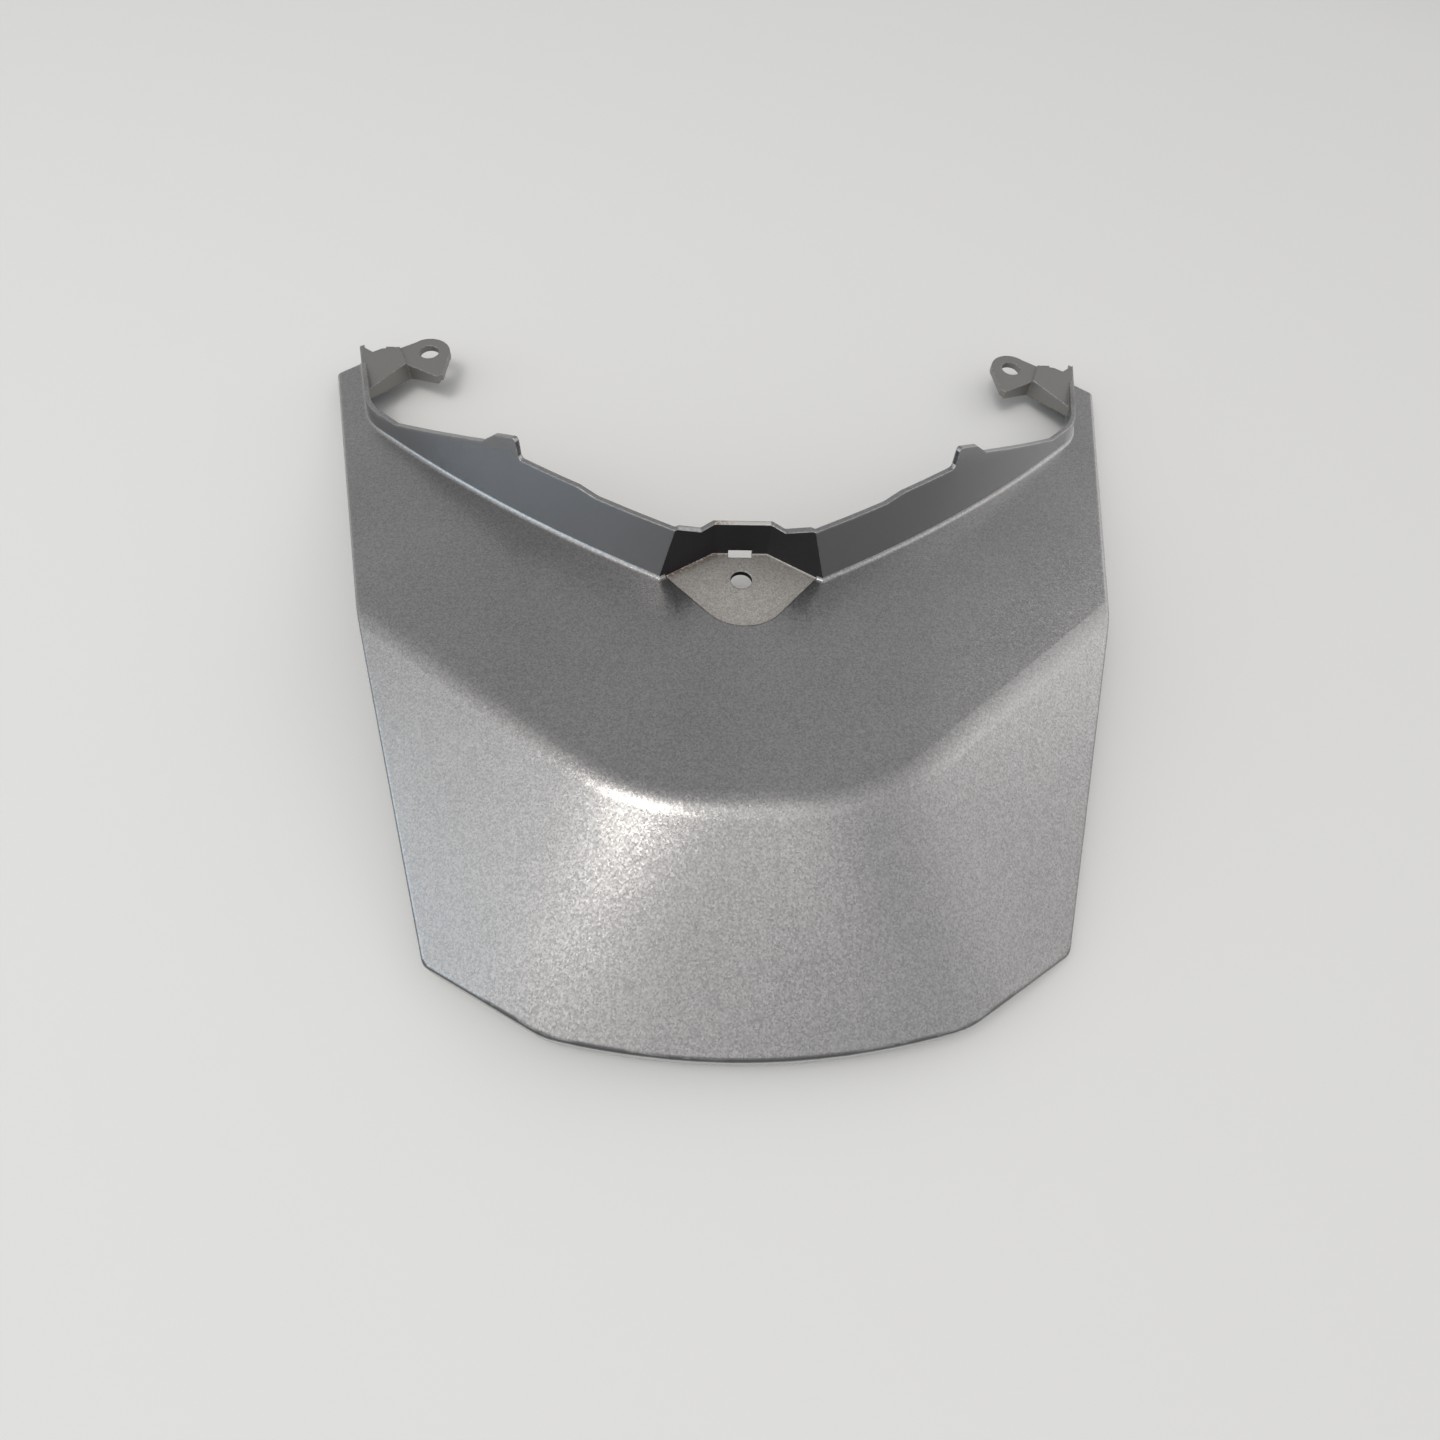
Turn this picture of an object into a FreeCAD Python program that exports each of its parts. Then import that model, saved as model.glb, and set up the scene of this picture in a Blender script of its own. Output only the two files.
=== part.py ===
import FreeCAD, Part
import math
import os
import Sketcher

V = FreeCAD.Vector

# Driving dimensions in millimetres and degrees. The origin is the centre of the fixing hole on the floor of the
# pocket, X runs across the panel, Y runs towards the two ears and Z is up as the panel lies on a table.
SIZES = {
    # skin
    "skin": 2.4,                # thickness of the moulding, measured straight down
    "level_line": 2.1,          # Y where the plateau passes through the level of the pocket floor
    "plateau_slope": 9.3,       # the plateau falls towards the ears
    "crease_front": 77.5,       # the crease lies this far in front of the origin
    "crease_half": 29.7,        # half length of the straight middle of the crease
    "nose_slope": 24.0,         # the middle facet below the crease
    "side_slope": 26.1,         # the two side facets below the crease
    "side_turn": 38.1,          # how far a side facet faces round from square to the side
    "facet_blend": 110.0,       # rounding between the side facets and the middle one
    "crease_blend": 12.0,       # rounding along the crease
    "edge_round": 1.5,          # rounding of the outer edge
    "rim_end": 12.0,            # the turned-down edge stops this far in front of the origin
    "rim": 5.0,                 # depth of the turned-down edge along the lip
    # outline seen from above
    "far_half": 142.4,          # half width at the far corners, the widest place
    "far_back": 106.0,          # the far corners lie this far behind the origin
    "strip_wide": 7.0,          # from a far corner in to the tip of the wall, across
    "strip_past": 8.3,          # the tip lies this far behind the far corner
    "lip_half": 81.5,           # half width at the corners of the lip
    "lip_front": 107.0,         # the corners of the lip lie this far in front of the origin
    "bend_in": 31.0,            # from a corner of the lip in to the bend beside it
    "bend_out": 18.0,           # the bend lies this far in front of the corner
    "lip_arc": 202.0,           # radius of the middle of the lip
    "lip_corner": 4.0,          # rounding of the corners of the lip
    "lip_bend": 25.0,           # rounding of the bends
    # raised wall round the notch
    "wall": 1.6,                # thickness of the wall, also round the pocket
    "wall_lean": 8.0,           # how far the wall leans back from square to the plateau
    "wall_root": 1.2,           # rounding of the inside corner at its foot
    "notch_front": 15.4,        # the two sides of the notch would meet this far in front of the level line
    "notch_arc": 490.0,         # radius of the long sides of the notch
    "strip_slant": 11.0,        # from the tip of the wall in to the corner of the notch, across
    "strip_long": 39.6,         # and along
    "bay_arc": 24.0,            # rounding of the corner of the notch
    "step_from": 50.4,          # places along a side of the notch, from its point: start of the step
    "step_long": 6.5,           # length of the step's slope
    "tab_from": 78.7,           # start of the tab
    "tab_long": 15.1,           # length of the tab at its foot
    "fall_long": 43.0,          # length of the fall from the tab to the flange
    "wall_rise": 17.4,          # heights above the plateau: the wall beside the pocket
    "step_rise": 1.2,           # more beyond the step
    "tab_rise": 6.2,            # more on the tab
    "tab_fall": 2.2,            # less at the outer end of the tab
    "tab_foot": 1.5,            # rounding at the inner foot of the tab
    "tab_round": 1.2,           # rounding of its inner corner
    "strip_rise": 6.4,          # the low flange along the strip
    # pocket with the fixing hole
    "pocket_half": 8.2,         # half width of the back
    "pocket_back": 10.1,        # the back lies this far behind the hole
    "pocket_wide": 22.6,        # half width at the widest place
    "pocket_level": 1.1,        # the widest place lies this far behind the hole
    "pocket_nose_half": 10.05,  # half width where the rounded nose begins
    "pocket_nose": 14.1,        # the nose begins this far in front of the hole
    "pocket_round": 13.0,       # radius of the nose
    "pocket_floor": 1.6,        # thickness of the floor
    "back_rise": 12.4,          # height of the back above the floor
    "dip_half": 19.0,           # half width of the dip in the wall above the pocket
    "screw_hole": 6.4,          # across the fixing hole
    "slot_half": 3.6,           # half width of the slot at the foot of the back
    "slot_deep": 1.6,           # how far the slot reaches into the floor
    "slot_rise": 1.4,           # how far it reaches up the back
    # ears
    "ear_reach": 26.7,          # from the tip of the wall in to the ear's hole, across
    "ear_short": 2.3,           # the hole lies this far in front of the tip
    "ear_hole": 7.0,            # across the hole
    "ear_lobe": 7.4,            # radius of the lobe round the hole
    "ear_level": 11.0,          # the top of the ear lies this far below the pocket's floor
    "ear_thick": 2.2,           # thickness of the plate
    "ear_rib": 6.2,             # greatest depth of the turned-down edge
    "ear_step": 0.6,            # the inner half of the plate is this much higher than the lobe
    "nub_wide": 3.0,            # the nub on the back edge
    "nub_out": 1.8,             # how far it stands out
}

# Places that hang on several sizes: the tip of the wall, the corner of the notch and the hole of the right ear.
TIP_X = "far_half - strip_wide"
TIP_Y = "far_back + strip_past"
CORNER_X = TIP_X + " - strip_slant"
CORNER_Y = TIP_Y + " - strip_long"
EAR_X = TIP_X + " - ear_reach"
EAR_Y = TIP_Y + " - ear_short"

doc = FreeCAD.newDocument("rear_fairing")
sheet = doc.addObject("Spreadsheet::Sheet", "Sizes")
for row, (name, value) in enumerate(SIZES.items(), start=1):
    sheet.set("A%d" % row, name)
    sheet.set("B%d" % row, str(value))
    sheet.setAlias("B%d" % row, name)
doc.recompute()


def sized(text):
    """An expression on the sheet: every size named in the text is looked up there."""
    return " ".join("Sizes." + word if word in SIZES else word for word in text.split())


def number(text):
    """The present value of a sum of sizes, such as far_half - wall."""
    total, sign = 0.0, 1.0
    for word in text.split():
        if word in "+-":
            sign = -1.0 if word == "-" else 1.0
        else:
            total += sign * (SIZES[word] if word in SIZES else float(word))
    return total


def bind(thing, **expressions):
    for prop, text in expressions.items():
        thing.setExpression(prop.replace("__", "."), sized(text))


def pin(sketch, geo, pos, x, y):
    """Hold one point of a sketch at sizes read from the sheet."""
    for kind, text, axis in (("DistanceX", x, -2), ("DistanceY", y, -1)):
        if text == "0":
            sketch.addConstraint(Sketcher.Constraint("PointOnObject", geo, pos, axis))
        else:
            index = sketch.addConstraint(Sketcher.Constraint(kind, geo, pos, number(text)))
            sketch.setExpression("Constraints[%d]" % index, sized(text))


def bulged(a, b, radius):
    """The middle of an arc from a to b; a positive radius bulges to the right of the way from a to b."""
    way = b - a
    side = V(way.y, -way.x, 0).normalize()
    sag = abs(radius) - math.sqrt(radius * radius - way.Length ** 2 / 4)
    return (a + b) * 0.5 + side * math.copysign(sag, radius)


def outline(name, points, arcs=None, mirrored=True, corner=None):
    """A closed sketch. Points are pairs of sizes, and arcs names the radius and the side of a rounded span.

    A mirrored outline gives the right half only, from the back to the front, and the left half follows it.
    A corner names a rounded span that runs smoothly into the spans beside it, and the place where those two would
    meet without it; the two ends of that span are then only near the points given.
    """
    arcs = arcs or {}
    loose = (corner[0], corner[0] + 1) if corner else ()
    sketch = doc.addObject("Sketcher::SketchObject", name)
    count = len(points)
    right = [V(number(x), number(y), 0) for x, y in points]
    left = [V(-p.x, p.y, 0) for p in reversed(right)] if mirrored else []
    on_axis = mirrored and points[-1][0] == "0"
    spots = right + left[1 if on_axis else 0:]
    total = len(spots)
    half = count - 1 if on_axis else count
    ends = []
    for i, a in enumerate(spots):
        b = spots[(i + 1) % total]
        twin = i if i < half else total - 2 - i
        if twin in arcs:
            text, side = arcs[twin]
            arc = Part.Arc(a, bulged(a, b, side * number(text)), b)
            geo = sketch.addGeometry(arc, False)
            turned = sketch.getPoint(geo, 1).distanceToPoint(a) > 1e-3
            ends.append((2, 1) if turned else (1, 2))
        else:
            geo = sketch.addGeometry(Part.LineSegment(a, b), False)
            ends.append((1, 2))
    for i in range(total):
        after = (i + 1) % total
        kind = "Tangent" if after in loose else "Coincident"
        sketch.addConstraint(Sketcher.Constraint(kind, i, ends[i][1], after, ends[after][0]))
    for i in range(total):
        if i >= count:
            twin = total - 1 - i
            sketch.addConstraint(Sketcher.Constraint("Symmetric", i, ends[i][0], twin, ends[twin][0], -2))
        elif i not in loose:
            pin(sketch, i, ends[i][0], *points[i])
        twin = i if i < half else total - 2 - i
        if twin in arcs:
            index = sketch.addConstraint(Sketcher.Constraint("Radius", i, number(arcs[twin][0])))
            sketch.setExpression("Constraints[%d]" % index, sized(arcs[twin][0]))
    if corner:
        at, x, y = corner
        meet = sketch.addGeometry(Part.Point(V(number(x), number(y), 0)), True)
        pin(sketch, meet, 1, x, y)
        for span in (at - 1, at + 1):
            sketch.addConstraint(Sketcher.Constraint("PointOnObject", meet, 1, span))
    doc.recompute()
    return sketch


UP = "vector( 0 ; 0 ; 1 )"
FRONT_VIEW = "placement( vector( 0 ; 0 ; 0 ) ; rotation( 0 ; 0 ; 90 ) )"
OUT_OF_PLATEAU = "vector( 0 ; sin( plateau_slope ) ; cos( plateau_slope ) )"


def prism(name, sketch, bottom, top, along=UP, taper="0"):
    """A straight body on a sketch, between two levels along one direction."""
    solid = doc.addObject("Part::Extrusion", name)
    solid.Base = sketch
    solid.DirMode = "Custom"
    solid.Solid = True
    bind(solid, Dir=along, LengthRev="0 - ( %s )" % bottom, LengthFwd=top, TaperAngle=taper)
    return solid


def joined(name, kind, base, tool):
    result = doc.addObject("Part::" + kind, name)
    result.Base = base
    result.Tool = tool
    return result


def fused(name, *shapes):
    result = doc.addObject("Part::MultiFuse", name)
    result.Shapes = list(shapes)
    return result


def moved(name, thing, z):
    copy = doc.addObject("Part::Compound", name)
    copy.Links = [thing]
    bind(copy, Placement__Base__z=z)
    return copy


def mirror(name, thing):
    copy = doc.addObject("Part::Mirroring", name)
    copy.Source = thing
    copy.Normal = V(1, 0, 0)
    return copy


def clearing(name, y, z, yaw, pitch, roll, x="0"):
    """A wide disc whose flat underside is one facet of the skin; it clears everything above that facet."""
    disc = doc.addObject("Part::Cylinder", name)
    disc.Radius = 420
    disc.Height = 150
    place = "placement( vector( %s ; %s ; %s ) ; rotation( %s ; %s ; %s ) )" % (x, y, z, yaw, pitch, roll)
    bind(disc, Placement=place)
    return disc


def normal_at(face, point):
    u, v = face.Surface.parameter(point)
    return face.normalAt(u, v)


def edges_between(shape, first, second):
    """Names of the edges that have one face of each kind beside them."""
    names = []
    for i, edge in enumerate(shape.Edges, start=1):
        middle = edge.valueAt((edge.FirstParameter + edge.LastParameter) / 2)
        faces = shape.ancestorsOfType(edge, Part.Face)
        if len(faces) != 2:
            continue
        a, b = (normal_at(face, middle) for face in faces)
        if (first(a, middle) and second(b, middle)) or (first(b, middle) and second(a, middle)):
            names.append("Edge%d" % i)
    return names


def rounded(body, name, size, names):
    before = body.Tip
    fillet = body.newObject("PartDesign::Fillet", name)
    fillet.Base = (before, names)
    bind(fillet, Radius=size)
    doc.recompute()
    return fillet


PLATEAU = "( crease_front + level_line ) * tan( plateau_slope )"

# Blank of the whole panel seen from above, with its front corners rounded.
plan = outline("plan", [
    (TIP_X + " - wall - wall", TIP_Y + " + wall + wall"),
    ("far_half", "far_back"),
    ("lip_half", "- lip_front"),
    ("lip_half - bend_in", "- lip_front - bend_out"),
], {3: ("lip_arc", -1)})
blank = prism("blank", plan, "-70", "70")

# The plateau, the middle facet and the two side facets are cleared from above.
facets = [
    clearing("clear_plateau", "level_line", "0", "0", "0", "- plateau_slope"),
    clearing("clear_nose", "- crease_front", PLATEAU, "0", "0", "nose_slope"),
    clearing("clear_right", "- crease_front", PLATEAU, "- side_turn", "side_slope", "0", "crease_half"),
    clearing("clear_left", "- crease_front", PLATEAU, "180 + side_turn", "side_slope", "0", "- crease_half"),
]
form = joined("form", "Cut", blank, fused("clearings", *facets))
doc.recompute()

skin = doc.addObject("PartDesign::Body", "skin_body")
skin.BaseFeature = form
doc.recompute()


def upright(n, p):
    return abs(n.z) < 1e-3


def plateau_face(n, p):
    return n.z > 0.5 and n.y > 0.01


def lower_face(n, p):
    return n.z > 0.5 and n.y < -0.01


def upright_edges(shape, half):
    """Names of the upright edges that stand at this distance either side of the middle."""
    names = []
    for i, edge in enumerate(shape.Edges, start=1):
        a, b = (vertex.Point for vertex in (edge.Vertexes[0], edge.Vertexes[-1]))
        if a.distanceToPoint(b) > 1 and abs(a.x - b.x) + abs(a.y - b.y) < 1e-6 and abs(abs(a.x) - half) < 0.01:
            names.append("Edge%d" % i)
    return names


rounded(skin, "lip_bends", "lip_bend", upright_edges(skin.Shape, number("lip_half - bend_in")))
rounded(skin, "lip_corners", "lip_corner", upright_edges(skin.Shape, SIZES["lip_half"]))
rounded(skin, "facet_blends", "facet_blend", edges_between(skin.Shape, lower_face, lower_face))
rounded(skin, "crease_blends", "crease_blend", edges_between(skin.Shape, plateau_face, lower_face))
rounded(skin, "edge_rounds", "edge_round",
        edges_between(skin.Shape, upright, lambda n, p: n.z > 0.5 and p.y < SIZES["far_back"]))

# The skin is what lies between the form and the same form lowered; along the lip it is left deeper as a rim.
rim_plan = outline("rim_plan", [
    ("far_half - skin", "far_back"),
    ("lip_half - skin", "skin - lip_front"),
    ("lip_half - bend_in - skin", "skin - lip_front - bend_out"),
], {2: ("lip_arc", -1)})
above_rim = doc.addObject("Part::Box", "above_rim")
bind(above_rim, Length="far_half * 2 + 20", Width=TIP_Y + " + rim_end + 20", Height="160",
     Placement__Base__x="- far_half - 10", Placement__Base__y="- rim_end", Placement__Base__z="-80")
under = fused("under", prism("rim_space", rim_plan, "-80", "80"), above_rim)
hollow = joined("hollow", "Common", moved("form_by_skin", skin, "- skin"), under)
band = joined("band", "Cut", skin, moved("form_by_rim", skin, "- rim"))
shell = joined("shell", "Cut", band, hollow)
doc.recompute()

# The wall round the notch stands on the plateau, so it is drawn on the plateau and leans back from it.
ON_PLATEAU = "placement( vector( 0 ; level_line ; 0 ) ; rotation( 0 ; 0 ; - plateau_slope ) )"
notch = outline("notch", [
    (TIP_X, TIP_Y + " + 45"),
    (TIP_X, TIP_Y),
    (CORNER_X + " + 1.7", CORNER_Y + " + 6.2"),
    (CORNER_X + " - 4.7", CORNER_Y + " - 4.6"),
    ("0", "- notch_front"),
], {2: ("bay_arc", -1), 3: ("notch_arc", -1)}, corner=(2, CORNER_X, CORNER_Y))
bind(notch, Placement=ON_PLATEAU)
gap = doc.addObject("Part::Offset2D", "gap")
gap.Source = notch
gap.Join = 2
bind(gap, Value="- wall")
outer = prism("outer", notch, "- skin * cos( plateau_slope )", "40", OUT_OF_PLATEAU, "- wall_lean")
inner = prism("inner", gap, "-40", "40", OUT_OF_PLATEAU, "- wall_lean")

# The pocket in the point of the notch has a level floor and an upright back in three facets.
niche = outline("niche", [
    ("pocket_half", "pocket_back"),
    ("pocket_wide + pocket_wide - pocket_half", "pocket_level + pocket_level - pocket_back"),
    ("pocket_wide + pocket_wide - pocket_half", "- pocket_nose - 25"),
])
niche_back = doc.addObject("Part::Offset2D", "niche_back")
niche_back.Source = niche
niche_back.Join = 2
bind(niche_back, Value="wall")
wall_front = joined("wall_front", "Cut", outer, prism("niche_space", niche, "-50", "50"))
notch_space = joined("notch_space", "Cut", inner, prism("niche_body", niche_back, "-60", "60"))

pocket = outline("pocket", [
    ("pocket_half", "pocket_back"),
    ("pocket_wide", "pocket_level"),
    ("pocket_nose_half", "- pocket_nose"),
], {2: ("pocket_round", -1)})
pocket_rim = doc.addObject("Part::Offset2D", "pocket_rim")
pocket_rim.Source = pocket
pocket_rim.Join = 2
bind(pocket_rim, Value="wall")
floor = prism("floor", pocket_rim, "- pocket_floor", "0")
floor_front = joined("floor_front", "Cut", prism("floor_block", pocket_rim, "- pocket_floor", "12"), facets[0])
pocket_space = prism("pocket_space", pocket, "0", "50")
floor_under = prism("floor_under", pocket_rim, "- pocket_floor - 12", "- pocket_floor")

# The top of the wall: a step and a tab each side of the pocket, then a fall to the low flange along the strip.
CHORD = "atan( ( %s + notch_front ) / ( %s ) )" % (CORNER_Y, CORNER_X)
WALL_SIDE = ON_PLATEAU + " * placement( vector( 0 ; - notch_front ; 0 ) ; rotation( %s ; 0 ; 90 ) )" % CHORD
SQUARE_TO_WALL = ("vector( sin( {0} ) ; - cos( {0} ) * cos( plateau_slope ) ;"
                  " cos( {0} ) * sin( plateau_slope ) )").format(CHORD)
STEP_TO = "step_from + step_long"
TAB_TO = "tab_from + tab_long"
STEPPED = "wall_rise + step_rise"
profile = outline("profile", [
    ("-20", "-15"),
    ("-20", "wall_rise"),
    ("step_from", "wall_rise"),
    (STEP_TO, STEPPED),
    ("tab_from - 1.24", STEPPED),
    ("tab_from + 0.24", STEPPED + " + 1.22"),
    ("tab_from + 0.96", STEPPED + " + tab_rise - 1.26"),
    ("tab_from + 2.44", STEPPED + " + tab_rise - 0.33"),
    (TAB_TO + " - 5.5", STEPPED + " + tab_rise - tab_fall"),
    (TAB_TO, STEPPED),
    (TAB_TO + " + fall_long", "strip_rise"),
    ("230", "strip_rise"),
    ("230", "-15"),
], {4: ("tab_foot", 1), 6: ("tab_round", -1)}, mirrored=False)
bind(profile, Placement=WALL_SIDE)
side = prism("side", profile, "-45", "45", SQUARE_TO_WALL)
tops = fused("tops", side, mirror("side_left", side))
wall_tall = joined("wall_tall", "Common", wall_front, tops)
wall_ended = joined("wall_ended", "Common", wall_tall, blank)

# The back of the pocket is cut lower than the wall beside it.
dip = outline("dip", [
    ("dip_half + dip_half - pocket_half - 4", "wall_rise + wall_rise - back_rise + 0.6"),
    ("pocket_half + 4", "back_rise - 0.6"),
    ("pocket_half", "back_rise"),
])
bind(dip, Placement=FRONT_VIEW)
dip_space = prism("dip_space", dip, "-12", "40", "vector( 0 ; 1 ; 0 )")

screw = doc.addObject("Part::Cylinder", "screw")
screw.Height = 20
bind(screw, Radius="screw_hole / 2", Placement__Base__z="-10")
slot = doc.addObject("Part::Box", "slot")
bind(slot, Length="slot_half * 2", Width="slot_deep + wall * 3", Height="slot_rise + pocket_floor * 2",
     Placement__Base__x="- slot_half", Placement__Base__y="pocket_back - slot_deep",
     Placement__Base__z="- pocket_floor * 2")

panel = fused("panel", shell, wall_ended, floor, floor_front)
spaces = fused("spaces", notch_space, pocket_space, floor_under, dip_space, screw, slot)
cut_panel = joined("cut_panel", "Cut", panel, spaces)

# Each ear is a level plate on the flange of the strip, with a turned-down front edge and a hole in a round lobe.
ROOT = (CORNER_X + " + 2.6", CORNER_Y + " + 14.8")
BEND = (EAR_X + " + 6.9", EAR_Y + " - 7")
TOE = (EAR_X + " - 4.5", EAR_Y + " - 13.1")
WAIST = (EAR_X + " + 10.6", EAR_Y + " + 1.6")
back_edge = [
    (TIP_X + " - 2.2", TIP_Y + " - 0.5"),
    (EAR_X + " + 19.6", EAR_Y + " - 1.6"),
    (EAR_X + " + 16.8", EAR_Y + " + 0.3"),
    WAIST,
]
plate = outline("plate", back_edge + [
    (EAR_X + " + 5.2", EAR_Y + " + 5.2"),
    (EAR_X + " - 7.2", EAR_Y + " - 1.3"),
    (EAR_X + " - 6.3", EAR_Y + " - 11.8"),
    TOE,
    BEND,
    ROOT,
], mirrored=False)
ear_plate = prism("ear_plate", plate, "- ear_level - ear_thick", "- ear_level")
raised = outline("raised", back_edge + [BEND, ROOT], mirrored=False)
raised_plate = prism("raised_plate", raised, "- ear_level - ear_thick", "ear_step - ear_level")
nub = doc.addObject("Part::Box", "nub")
bind(nub, Length="nub_wide", Width="nub_out + 2", Height="ear_thick - 0.4", Placement__Base__x=EAR_X + " + 12.8",
     Placement__Base__y=EAR_Y + " - 1", Placement__Base__z="- ear_level - ear_thick")
lobe = doc.addObject("Part::Cylinder", "lobe")
bind(lobe, Radius="ear_lobe", Height="ear_thick", Placement__Base__x=EAR_X, Placement__Base__y=EAR_Y,
     Placement__Base__z="- ear_level - ear_thick")

# The turned-down edge follows the front of the plate and is deepest at its bend.
edge_plan = outline("edge_plan", [
    TOE,
    BEND,
    ROOT,
    (ROOT[0] + " + 0.6", ROOT[1] + " + 1"),
    (EAR_X + " + 7.5", EAR_Y + " - 4.7"),
    (EAR_X + " - 5.3", EAR_Y + " - 11.5"),
], mirrored=False)
edge_side = outline("edge_side", [
    (EAR_X + " - 8", "- ear_level"),
    (EAR_X + " - 8", "- ear_level - ear_thick"),
    (BEND[0], "- ear_level - ear_rib"),
    (ROOT[0] + " + 3", "- ear_level - ear_thick"),
    (ROOT[0] + " + 3", "- ear_level"),
], mirrored=False)
bind(edge_side, Placement=FRONT_VIEW)
edge_block = prism("edge_block", edge_plan, "- ear_level - ear_rib - 5", "- ear_level")
edge_depth = prism("edge_depth", edge_side, EAR_Y + " - 40", EAR_Y + " + 20", "vector( 0 ; 1 ; 0 )")
turned_edge = joined("turned_edge", "Common", edge_block, edge_depth)
ear = fused("ear", ear_plate, raised_plate, nub, lobe, turned_edge)
ear_bore = doc.addObject("Part::Cylinder", "ear_bore")
bind(ear_bore, Radius="ear_hole / 2", Height="ear_thick * 3", Placement__Base__x=EAR_X,
     Placement__Base__y=EAR_Y, Placement__Base__z="- ear_level - ear_thick * 2")
holed_ear = joined("holed_ear", "Cut", ear, ear_bore)
moulding = fused("moulding", cut_panel, holed_ear, mirror("left_ear", holed_ear))
doc.recompute()

# The inside corner between the plateau and the wall is softly rounded.
fairing = doc.addObject("PartDesign::Body", "fairing")
fairing.Label = "rear_fairing"
fairing.BaseFeature = moulding
doc.recompute()


def on_plateau(p):
    return abs(p.z + (p.y - SIZES["level_line"]) * math.tan(math.radians(SIZES["plateau_slope"]))) < 0.02


def wall_foot(n, p):
    beside_pocket = abs(p.x) > SIZES["pocket_wide"] + SIZES["wall"] / 2
    return abs(n.z) < 0.4 and on_plateau(p) and beside_pocket and abs(p.x) < number(TIP_X) + 1


roots = edges_between(fairing.Shape, plateau_face, wall_foot)
rounded(fairing, "wall_root", "wall_root", roots)

for thing in doc.Objects:
    if "Invalid" in thing.State or "Error" in thing.State:
        raise RuntimeError("%s: %s" % (thing.Name, thing.State))
if fairing.Shape.isNull() or not fairing.Shape.isValid() or len(fairing.Shape.Solids) != 1:
    raise RuntimeError("the fairing is not one sound solid")
os.makedirs("parts", exist_ok=True)
fairing.Shape.exportStep("parts/%s.step" % fairing.Label)
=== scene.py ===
# %% [markdown]
# # A scooter's rear fairing
# The fairing is the painted panel that closes the tail of a scooter. It is one plastic moulding: a sloping
# plateau, three facets below a crease, a wall round a wide notch, a pocket for the middle screw and two ears
# for the outer ones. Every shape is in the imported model, so this lesson is about the finish: metallic paint
# under a clear coat, the places that the spray gun did not reach, the raw underside, and the light that a
# panel on a work table gets.

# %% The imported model
import bmesh
import bpy
import math
from mathutils import Matrix, Vector


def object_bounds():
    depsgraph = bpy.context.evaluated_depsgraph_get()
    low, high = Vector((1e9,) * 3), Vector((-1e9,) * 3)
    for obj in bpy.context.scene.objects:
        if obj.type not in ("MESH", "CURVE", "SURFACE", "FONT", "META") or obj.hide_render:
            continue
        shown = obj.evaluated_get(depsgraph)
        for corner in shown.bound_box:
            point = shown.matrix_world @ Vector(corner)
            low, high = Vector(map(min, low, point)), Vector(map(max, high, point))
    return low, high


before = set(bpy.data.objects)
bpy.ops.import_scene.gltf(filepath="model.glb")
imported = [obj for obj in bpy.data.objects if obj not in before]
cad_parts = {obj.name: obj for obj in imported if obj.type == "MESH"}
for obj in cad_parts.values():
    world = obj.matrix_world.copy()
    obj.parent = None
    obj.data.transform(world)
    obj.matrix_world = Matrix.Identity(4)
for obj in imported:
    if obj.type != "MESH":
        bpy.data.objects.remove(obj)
cad_low, cad_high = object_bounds()
panel = bpy.data.objects["rear_fairing"]
print("panel", panel.name, "faces", len(panel.data.polygons), "box", tuple(cad_low), tuple(cad_high))

# %% [markdown]
# ## Small helpers
# A material is a network of nodes. A few short helpers keep each step readable: one adds a node, sets its
# values and plugs other nodes into it, and the others do arithmetic, soft steps and mixes of colours.

# %% Node helpers
def node(tree, kind, values=None, links=None, **settings):
    """Add a node with its settings, plain input values and links from other sockets."""
    made = tree.nodes.new(kind)
    for name, value in settings.items():
        setattr(made, name, value)
    for name, value in (values or {}).items():
        made.inputs[name].default_value = value
    for name, socket in (links or {}).items():
        tree.links.new(socket, made.inputs[name])
    return made


def math_node(tree, operation, first, second=None):
    """One step of arithmetic; each side is a socket or a plain number."""
    made = node(tree, "ShaderNodeMath", operation=operation)
    for place, given in enumerate((first, second)):
        if given is None:
            continue
        if isinstance(given, (int, float)):
            made.inputs[place].default_value = given
        else:
            tree.links.new(given, made.inputs[place])
    return made.outputs["Value"]


def ramp(tree, socket, low, high, to_low=0.0, to_high=1.0, curve="LINEAR"):
    """Turn a range of values into another one, and stay inside it."""
    made = node(tree, "ShaderNodeMapRange",
                {"From Min": low, "From Max": high, "To Min": to_low, "To Max": to_high},
                {"Value": socket}, interpolation_type=curve)
    return made.outputs["Result"]


def above(tree, socket, edge, soft):
    """A mask that rises from 0 to 1 round an edge."""
    return ramp(tree, socket, edge - soft, edge + soft)


def below(tree, socket, edge, soft):
    """A mask that falls from 1 to 0 round an edge."""
    return ramp(tree, socket, edge + soft, edge - soft)


def all_of(tree, *masks):
    """The product of several masks."""
    total = masks[0]
    for mask in masks[1:]:
        total = math_node(tree, "MULTIPLY", total, mask)
    return total


def any_of(tree, first, second):
    """The stronger of two masks."""
    return math_node(tree, "MAXIMUM", first, second)


def blend(tree, mask, first, second):
    """A mix of two colours; each is a socket or a plain colour."""
    made = node(tree, "ShaderNodeMix", links={"Factor": mask}, data_type="RGBA")
    for name, given in (("A", first), ("B", second)):
        if isinstance(given, tuple):
            made.inputs[name].default_value = given
        else:
            tree.links.new(given, made.inputs[name])
    return made.outputs["Result"]


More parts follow.
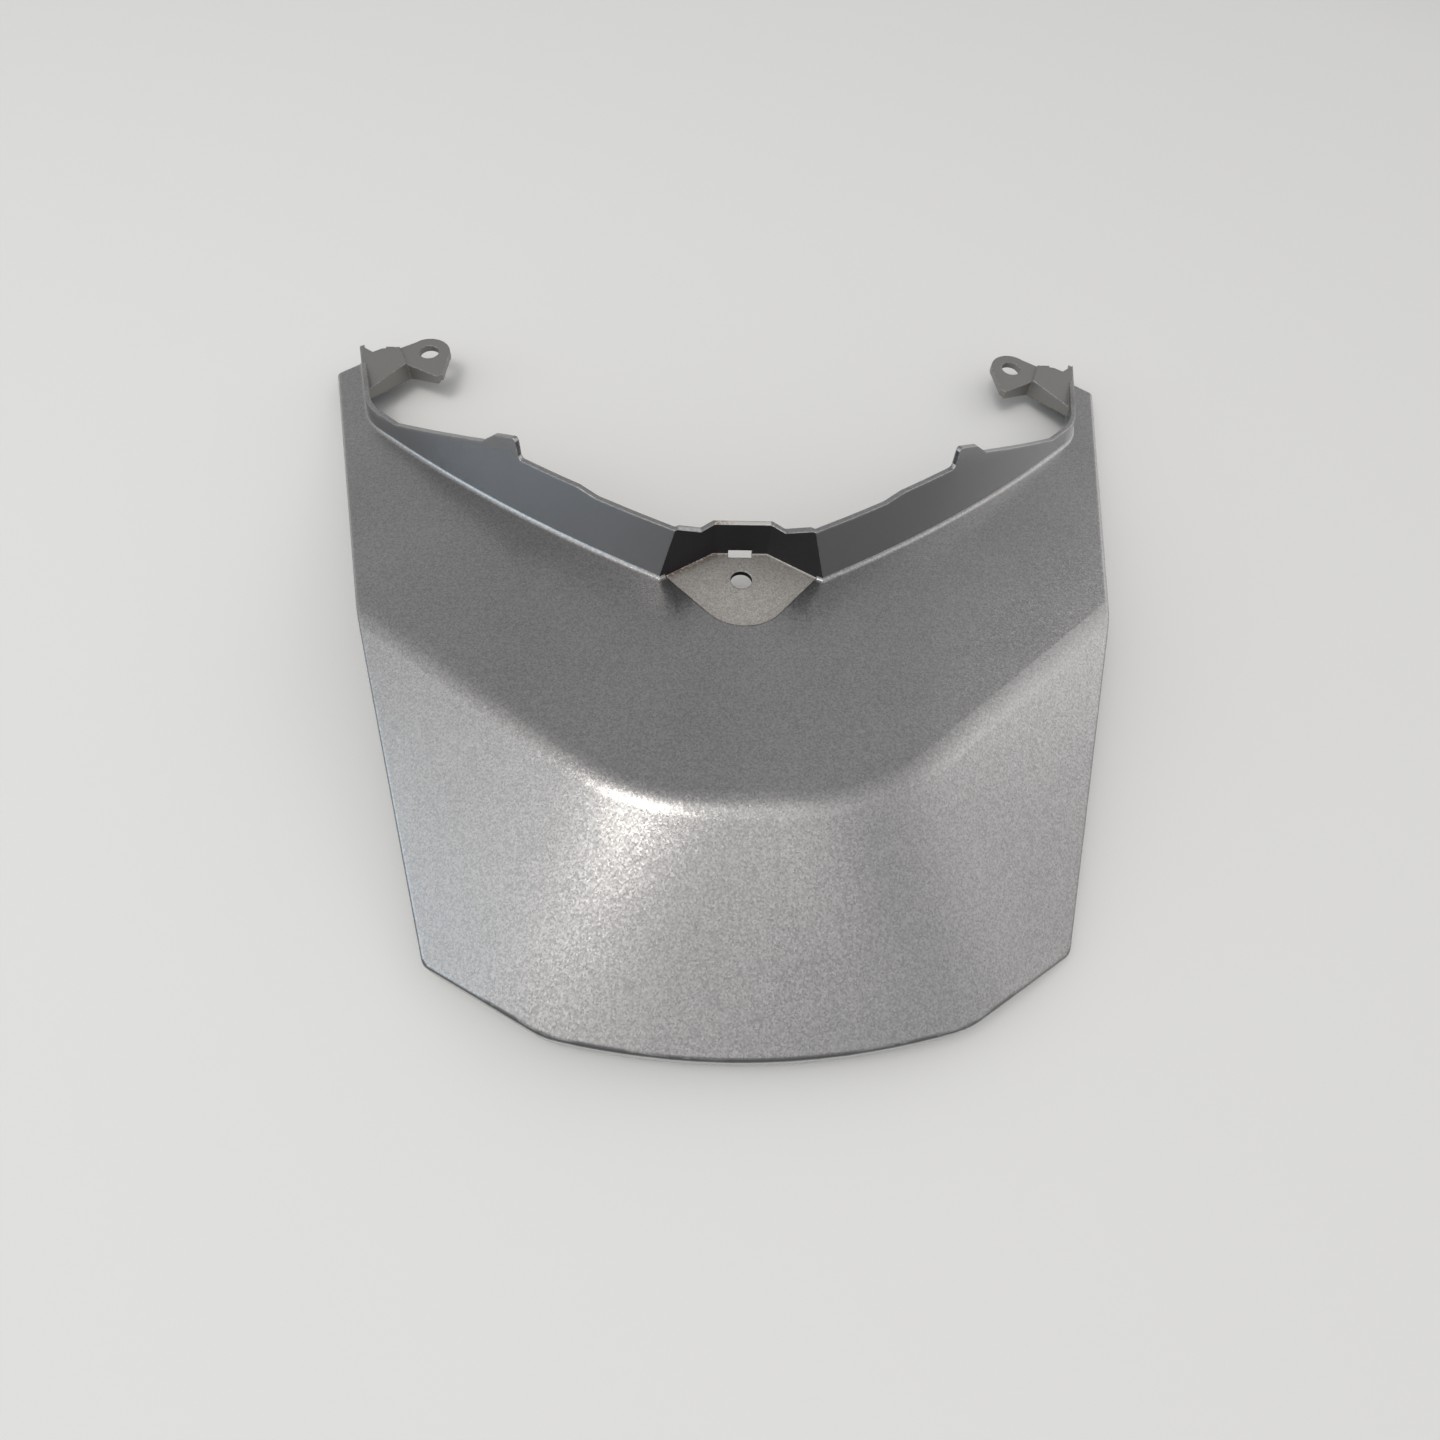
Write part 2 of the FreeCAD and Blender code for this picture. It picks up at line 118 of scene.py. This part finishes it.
def new_material(name):
    """A material with an empty network."""
    made = bpy.data.materials.new(name)
    made.use_nodes = True
    made.node_tree.nodes.clear()
    return made


print("helpers ready")

# %% [markdown]
# ## Metal flakes in the paint
# Metallic paint holds thin flakes of aluminium. Each flake is tilted a little, so some catch the light and
# look like sparks while their neighbours stay dark. A noise would only make blurred spots. Voronoi cells are
# better: every cell is one flake and its random colour is read as the way that flake is tilted.

# %% Flakes
flakes = bpy.data.node_groups.new("paint_flakes", "ShaderNodeTree")
for label, kind in (("Flakes per metre", "Float"), ("Tilt", "Float"), ("Surface", "Vector")):
    flakes.interface.new_socket(name=label, in_out="INPUT", socket_type="NodeSocket" + kind)
for label, kind in (("Normal", "Vector"), ("Glint", "Float")):
    flakes.interface.new_socket(name=label, in_out="OUTPUT", socket_type="NodeSocket" + kind)
given = flakes.nodes.new("NodeGroupInput").outputs
result = flakes.nodes.new("NodeGroupOutput").inputs

spot = node(flakes, "ShaderNodeTexCoord")
cells = node(flakes, "ShaderNodeTexVoronoi", {"Randomness": 1.0},
             {"Vector": spot.outputs["Object"], "Scale": given["Flakes per metre"]}, feature="F1")
centred = node(flakes, "ShaderNodeVectorMath", {1: (0.5, 0.5, 0.5)}, {0: cells.outputs["Color"]},
               operation="SUBTRACT")
leaned = node(flakes, "ShaderNodeVectorMath", None, {0: centred.outputs["Vector"], "Scale": given["Tilt"]},
              operation="SCALE")
turned = node(flakes, "ShaderNodeVectorMath", None, {0: leaned.outputs["Vector"], 1: given["Surface"]},
              operation="ADD")
unit = node(flakes, "ShaderNodeVectorMath", None, {0: turned.outputs["Vector"]}, operation="NORMALIZE")
chance = node(flakes, "ShaderNodeSeparateColor", None, {"Color": cells.outputs["Color"]})
flakes.links.new(unit.outputs["Vector"], result["Normal"])
flakes.links.new(chance.outputs["Blue"], result["Glint"])
print("flake group", len(flakes.nodes), "nodes")

# %% [markdown]
# ## Where the paint is thin, and where shade is painted
# A spray gun works from above. The level floor of the pocket gets a dry, rough coat, the ears get overspray
# only, and the underside none. The upright back of the pocket gets painted shade: it is coloured nearly black.
# Masks could be painted on the mesh, but the imported mesh stays as it is. Each of these places is known in the
# panel's own frame, in metres, so a mask is a product of soft steps along X, along Y and along the normal.
# The normal's Z is 1 on a level face, 0 on an upright one and negative on the underside.

# %% Position and slope
paint = new_material("metallic_grey_paint")
tree = paint.node_tree
where = node(tree, "ShaderNodeTexCoord")
at = node(tree, "ShaderNodeSeparateXYZ", None, {"Vector": where.outputs["Object"]})
facing = node(tree, "ShaderNodeSeparateXYZ", None, {"Vector": where.outputs["Normal"]})
across = math_node(tree, "ABSOLUTE", at.outputs["X"])
along = at.outputs["Y"]
up = facing.outputs["Z"]
underside_up = -0.2
wall_up = 0.375
level_up = 0.995
raw = below(tree, up, underside_up, soft=0.1)
steep = below(tree, math_node(tree, "ABSOLUTE", up), wall_up, soft=0.075)
level = above(tree, up, level_up, soft=0.003)
print("slope masks in", len(tree.nodes), "nodes")

# %% [markdown]
# The pocket comes first. Its back is a niche with a middle facet and two side facets, so the distance from
# the foot of that back is the smaller of two distances, each measured square to its own facet. A crisp
# border fades over half a millimetre on each side.

# %% Masks of the pocket
crisp = 0.0005
niche_half = 0.027
niche_front = -0.0025
niche_back = 0.012
outwards = math_node(tree, "MULTIPLY", facing.outputs["X"], math_node(tree, "SIGN", at.outputs["X"]))
# The back of the pocket, where painted shade makes it nearly black.
niche = all_of(tree, steep, below(tree, facing.outputs["Y"], 0.0, soft=0.05),
               below(tree, outwards, 0.2, soft=0.1), below(tree, across, niche_half, crisp),
               above(tree, along, niche_front, crisp), below(tree, along, niche_back, crisp))

floor_half = 0.0255
floor_front = -0.0285
floor_back = 0.0125
floor = all_of(tree, level, below(tree, across, floor_half, crisp), below(tree, along, floor_back, crisp),
               above(tree, along, floor_front, soft=0.0015))

facet_half = 0.0082
facet_foot = 0.0101
side_across, side_along = 0.530, 0.848
before_middle = math_node(tree, "SUBTRACT", facet_foot, along)
inside_half = math_node(tree, "SUBTRACT", facet_half, across)
before_side = math_node(tree, "ADD", math_node(tree, "MULTIPLY", inside_half, side_across),
                        math_node(tree, "MULTIPLY", before_middle, side_along))
from_niche = math_node(tree, "MINIMUM", before_middle, before_side)
print("pocket masks in", len(tree.nodes), "nodes")

# %% [markdown]
# The ears begin where the strips end, and they are either level or lie inside the strip's line. The rim is
# the turned edge: it stands steeper than the facets, and it lies outside the two sides, which lean outwards
# towards the back, or in front of the lip. Its dark colour is painted shade.

# %% Masks of the ears and the rim
ear_front = 0.088
ear_side = 0.1285
inside_strip = below(tree, across, ear_side, soft=0.001)
ear = all_of(tree, above(tree, along, ear_front, soft=0.002), any_of(tree, inside_strip, level))

side_lean = 0.286
side_edge = 0.109
lip_edge = -0.1
rim_up = 0.72
beside = math_node(tree, "SUBTRACT", across, math_node(tree, "MULTIPLY", along, side_lean))
outer = any_of(tree, above(tree, beside, side_edge, crisp), below(tree, along, lip_edge, soft=0.002))
# The rim gets painted shade: a dark colour on the turned edge.
painted_rim_shade = all_of(tree, below(tree, up, rim_up, soft=0.12), outer)
print("all masks in", len(tree.nodes), "nodes")

# %% [markdown]
# ## Wear and painted highlights
# Along edges the coat is thin and rubbed a little brighter; that brighter colour is partly wear and partly a
# painted edge highlight. An edge could be marked on the mesh, but the Bevel node finds it by itself: there, its
# rounded normal turns away from the true one. A light line along the foot of the pocket's back is a painted
# highlight, and a brown scuff lies on the left of it, broken up by fine specks.

# %% Edges and marks
edge_radius = 0.0008
drift_low, drift_high = 0.3, 0.7
drift = node(tree, "ShaderNodeTexNoise", {"Scale": 22.0, "Detail": 3.0, "Roughness": 0.5},
             {"Vector": where.outputs["Object"]})
specks = node(tree, "ShaderNodeTexNoise", {"Scale": 900.0, "Detail": 2.0, "Roughness": 0.6},
              {"Vector": where.outputs["Object"]})
edges = node(tree, "ShaderNodeBevel", {"Radius": edge_radius}, samples=6)
shape = node(tree, "ShaderNodeNewGeometry")
bent = node(tree, "ShaderNodeVectorMath", None,
            {0: edges.outputs["Normal"], 1: shape.outputs["Normal"]}, operation="DOT_PRODUCT")
edge_bend = 0.885
edge_mark_specks = 0.51
# Edges made brighter: partly rubbed wear, partly a painted edge highlight.
wear_and_edge_highlight = all_of(tree, below(tree, bent.outputs["Value"], edge_bend, soft=0.085),
                above(tree, specks.outputs["Fac"], edge_mark_specks, soft=0.11))
foot_highlight_width = 0.0006
# A painted highlight along the foot of the pocket's back.
painted_foot_highlight = all_of(tree, floor, below(tree, from_niche, foot_highlight_width, soft=0.0003))
scuff_width = 0.0017
scuff_end = -0.005
scuff_specks = 0.48
scuff = all_of(tree, floor, below(tree, from_niche, scuff_width, soft=0.0009),
               below(tree, at.outputs["X"], scuff_end, soft=0.003),
               above(tree, specks.outputs["Fac"], scuff_specks, soft=0.08))
print("with wear", len(tree.nodes), "nodes")

# %% [markdown]
# ## Colour
# The colour drifts slowly over the panel, the flakes vary it from cell to cell, and a weak bump gives the
# skin of sprayed lacquer. The wall is seen at a flat angle, so its flakes are tilted less. Each thin or worn
# place, and each place of painted shade or painted highlight, then lays its own colour over the grey, and a
# later one covers an earlier one.

# %% Flakes on the panel and colours
skin = node(tree, "ShaderNodeBump", {"Strength": 0.12, "Distance": 0.0002},
            {"Height": specks.outputs["Fac"], "Normal": edges.outputs["Normal"]})
flake_tilt = ramp(tree, steep, 0.0, 1.0, to_low=0.1, to_high=0.03)
flake = node(tree, "ShaderNodeGroup", node_tree=flakes, values={"Flakes per metre": 2400.0},
             links={"Tilt": flake_tilt, "Surface": skin.outputs["Normal"]})
tone = math_node(tree, "MULTIPLY", ramp(tree, flake.outputs["Glint"], 0.0, 1.0, to_low=0.8, to_high=1.2),
                 ramp(tree, drift.outputs["Fac"], drift_low, drift_high, to_low=0.95, to_high=1.05))

paint_grey = (0.374, 0.362, 0.355)
dry_grey = (0.40, 0.375, 0.35)
wall_grey = (0.165, 0.165, 0.17, 1.0)
# painted highlight along the foot of the pocket's back
foot_highlight_colour = (0.62, 0.59, 0.55, 1.0)
overspray = (0.232, 0.224, 0.212, 1.0)
# rubbed edges, also a painted edge highlight
rubbed_edge_and_highlight = (0.42, 0.415, 0.40, 1.0)
# painted shade on the turned rim
rim_shade_colour = (0.05, 0.05, 0.053, 1.0)
# painted shade on the upright back of the pocket
painted_niche_shade = (0.008, 0.007, 0.009, 1.0)
brown_scuff = (0.26, 0.19, 0.14, 1.0)
raw_plastic = (0.042, 0.042, 0.044, 1.0)
grey = node(tree, "ShaderNodeVectorMath", {0: paint_grey}, {"Scale": tone}, operation="SCALE")
dry = node(tree, "ShaderNodeVectorMath", {0: dry_grey}, {"Scale": tone}, operation="SCALE")
colour = blend(tree, steep, grey.outputs["Vector"], wall_grey)
colour = blend(tree, floor, colour, dry.outputs["Vector"])
for mask, finish in ((painted_foot_highlight, foot_highlight_colour), (ear, overspray), (wear_and_edge_highlight, rubbed_edge_and_highlight), (painted_rim_shade, rim_shade_colour),
                     (niche, painted_niche_shade), (scuff, brown_scuff), (raw, raw_plastic)):
    colour = blend(tree, mask, colour, finish)
print("with colours", len(tree.nodes), "nodes")

# %% [markdown]
# ## The coat
# The real paint is grey metal under a clear layer. A metal shader and a gloss shader could be mixed for
# that, but the Principled shader has a coat of its own, so it stands for the whole paint. The masks weaken
# the metal and remove the clear layer where there is little paint or none and on the shaded back of the
# pocket, and the wall is smoother than the facets.

# %% Metal, roughness and coat
full_metal = 0.92
dry_metal = 0.45
matt_rougher = 0.2
wall_smoother = 0.14
niche_rougher = 0.4
raw_or_niche = any_of(tree, raw, niche)
matt = any_of(tree, ear, floor)
painted = math_node(tree, "SUBTRACT", 1.0, raw_or_niche)
metal = all_of(tree, painted, ramp(tree, matt, 0.0, 1.0, full_metal, dry_metal))
rough = ramp(tree, drift.outputs["Fac"], drift_low, drift_high, to_low=0.29, to_high=0.33)
dull = any_of(tree, matt, raw)
for mask, change in ((dull, matt_rougher), (steep, -wall_smoother), (niche, niche_rougher)):
    rough = math_node(tree, "ADD", rough, math_node(tree, "MULTIPLY", mask, change))
clear = math_node(tree, "SUBTRACT", 1.0, any_of(tree, matt, raw_or_niche))

shader = node(tree, "ShaderNodeBsdfPrincipled", {"Coat Roughness": 0.26, "Coat IOR": 1.5},
              {"Base Color": colour, "Metallic": metal, "Roughness": rough, "Coat Weight": clear,
               "Normal": flake.outputs["Normal"]})
node(tree, "ShaderNodeOutputMaterial", None, {"Surface": shader.outputs["BSDF"]})
panel.material_slots[0].material = paint
print("paint", len(tree.nodes), "nodes")

# %% [markdown]
# ## Table
# The panel lies on a pale table. A plain grid just below the lowest point of the panel is enough, as only its
# top is seen.

# %% Table
table_half = 30.0
table_gap = 0.0001
bm = bmesh.new()
bmesh.ops.create_grid(bm, x_segments=1, y_segments=1, size=table_half)
bmesh.ops.translate(bm, verts=bm.verts, vec=(0, 0, cad_low.z - table_gap))
mesh = bpy.data.meshes.new("table")
bm.to_mesh(mesh)
bm.free()
table = bpy.data.objects.new("table", mesh)
bpy.context.scene.collection.objects.link(table)
print("table at", round(cad_low.z - table_gap, 4))

# %% [markdown]
# Further out, the camera and the paint's reflections see the table fade into the light of the room, so that
# no edge of the table shows in a low view. A curved backdrop could hide the edge too, but it would keep out
# part of the room's light. The back side of the table is clear, so that the underside of the panel can be
# looked at from below.

# %% Finish of the table
room_colour = (0.97, 0.98, 1.0, 1.0)
front_light, back_light = 0.62, 0.39
change_start, change_end = 0.2, 0.65


def room_light(tree, towards_back):
    """How bright the room is: brighter in front of the panel than behind it."""
    return ramp(tree, towards_back, change_start, change_end, front_light, back_light, curve="SMOOTHSTEP")


table_colour = (0.77, 0.76, 0.74, 1.0)
fade_start, fade_end = 0.6, 1.6
pale = new_material("pale_table")
board = pale.node_tree
top = node(board, "ShaderNodeBsdfPrincipled",
           {"Base Color": table_colour, "Roughness": 0.8, "Specular IOR Level": 0.1})
spot_on_table = node(board, "ShaderNodeTexCoord").outputs["Object"]
spread = node(board, "ShaderNodeVectorMath", None, {0: spot_on_table}, operation="LENGTH")
heading = node(board, "ShaderNodeVectorMath", None, {0: spot_on_table}, operation="NORMALIZE")
bearing = node(board, "ShaderNodeSeparateXYZ", None, {"Vector": heading.outputs["Vector"]})
haze = node(board, "ShaderNodeEmission", {"Color": room_colour},
            {"Strength": room_light(board, bearing.outputs["Y"])})
ray = node(board, "ShaderNodeLightPath")
mirrored = any_of(board, ray.outputs["Is Glossy Ray"], ray.outputs["Is Transmission Ray"])
seen = any_of(board, ray.outputs["Is Camera Ray"], mirrored)
far = all_of(board, ramp(board, spread.outputs["Value"], fade_start, fade_end), seen)
fading = node(board, "ShaderNodeMixShader", None,
              {0: far, 1: top.outputs["BSDF"], 2: haze.outputs["Emission"]})
open_side = node(board, "ShaderNodeBsdfTransparent")
face = node(board, "ShaderNodeNewGeometry")
both = node(board, "ShaderNodeMixShader", None,
            {0: face.outputs["Backfacing"], 1: fading.outputs["Shader"], 2: open_side.outputs["BSDF"]})
node(board, "ShaderNodeOutputMaterial", None, {"Surface": both.outputs["Shader"]})
table.data.materials.append(pale)
print("table finish", len(board.nodes), "nodes")

# %% [markdown]
# ## Light
# Metallic paint shows what stands around it, so the room matters more than the lamps. The room is brighter
# in front of the panel than behind it, which keeps the plateau darker than the facets. A broad lamp hangs
# above the front, a small warm one makes the spot on the crease, a cool one stands on the left like a window,
# two weak ones fill in from the sides, and a large one shines from far behind on the right. Point lamps would
# make hard sparks, so all of them are soft area lamps.

# %% Lamps
panel_middle = (0.0, -0.05, 0.0)
white = (1.0, 1.0, 1.0)
warm = (1.0, 0.97, 0.92)
cool = (0.6, 0.83, 1.0)


def lamp(name, place, size, power, colour=white, aim=panel_middle, tall=None):
    """An area lamp that looks at a point; it is square unless it is given a height of its own."""
    data = bpy.data.lights.new(name, "AREA")
    data.shape = "RECTANGLE"
    data.size = size
    data.size_y = tall or size
    data.energy = power
    data.color = colour
    made = bpy.data.objects.new(name, data)
    look = (Vector(aim) - Vector(place)).to_track_quat("-Z", "Y")
    made.matrix_world = Matrix.Translation(place) @ look.to_matrix().to_4x4()
    bpy.context.scene.collection.objects.link(made)


lamp("skylight", place=(-0.44, -0.22, 1.3), size=0.5, power=4.0, colour=warm)
lamp("broad", place=(-0.3, -0.42, 1.35), size=1.6, power=3.2)
lamp("left", place=(-1.1, -0.35, 0.9), size=1.0, power=1.2)
lamp("window", place=(-1.5, -0.34, 0.34), size=1.0, power=2.8, colour=cool, tall=0.6)
lamp("side", place=(1.3, -0.2, 0.75), size=0.8, power=0.5)
lamp("door", place=(2.4, 1.3, 1.25), size=2.4, power=12.0, aim=(0.0, 0.0, 0.0))

# %% [markdown]
# The room itself is a plain world. A picture of a real room would give richer reflections, but a smooth
# change from front to back is all that the soft reflections of this paint show.

# %% Room
world = bpy.data.worlds.new("room")
world.use_nodes = True
room = world.node_tree
outlook = node(room, "ShaderNodeTexCoord")
sides = node(room, "ShaderNodeSeparateXYZ", None, {"Vector": outlook.outputs["Generated"]})
background = room.nodes["Background"]
background.inputs["Color"].default_value = room_colour
room.links.new(room_light(room, sides.outputs["Y"]), background.inputs["Strength"])
bpy.context.scene.world = world
print("room from", front_light, "in front to", back_light, "behind")

# %% [markdown]
# ## Camera
# The photograph was taken by hand from above the lip, so the camera is close, looks steeply down and is a
# little turned and rolled. Its place was found from the panel's own corners.

# %% Camera
eye = (-0.0216, -0.1541, 0.1929)
turn, tilt, roll = (math.radians(a) for a in (-7.41, 29.17, 6.55))
lens = bpy.data.cameras.new("camera")
lens.sensor_width = 36.0
lens.lens = 20.65
lens.clip_start = 0.01
camera = bpy.data.objects.new("camera", lens)
camera.matrix_world = (Matrix.Translation(eye) @ Matrix.Rotation(turn, 4, "Z")
                       @ Matrix.Rotation(tilt, 4, "X") @ Matrix.Rotation(roll, 4, "Z"))
bpy.context.scene.collection.objects.link(camera)
bpy.context.scene.camera = camera
bpy.context.scene.view_settings.view_transform = "Standard"
print("camera at", eye)
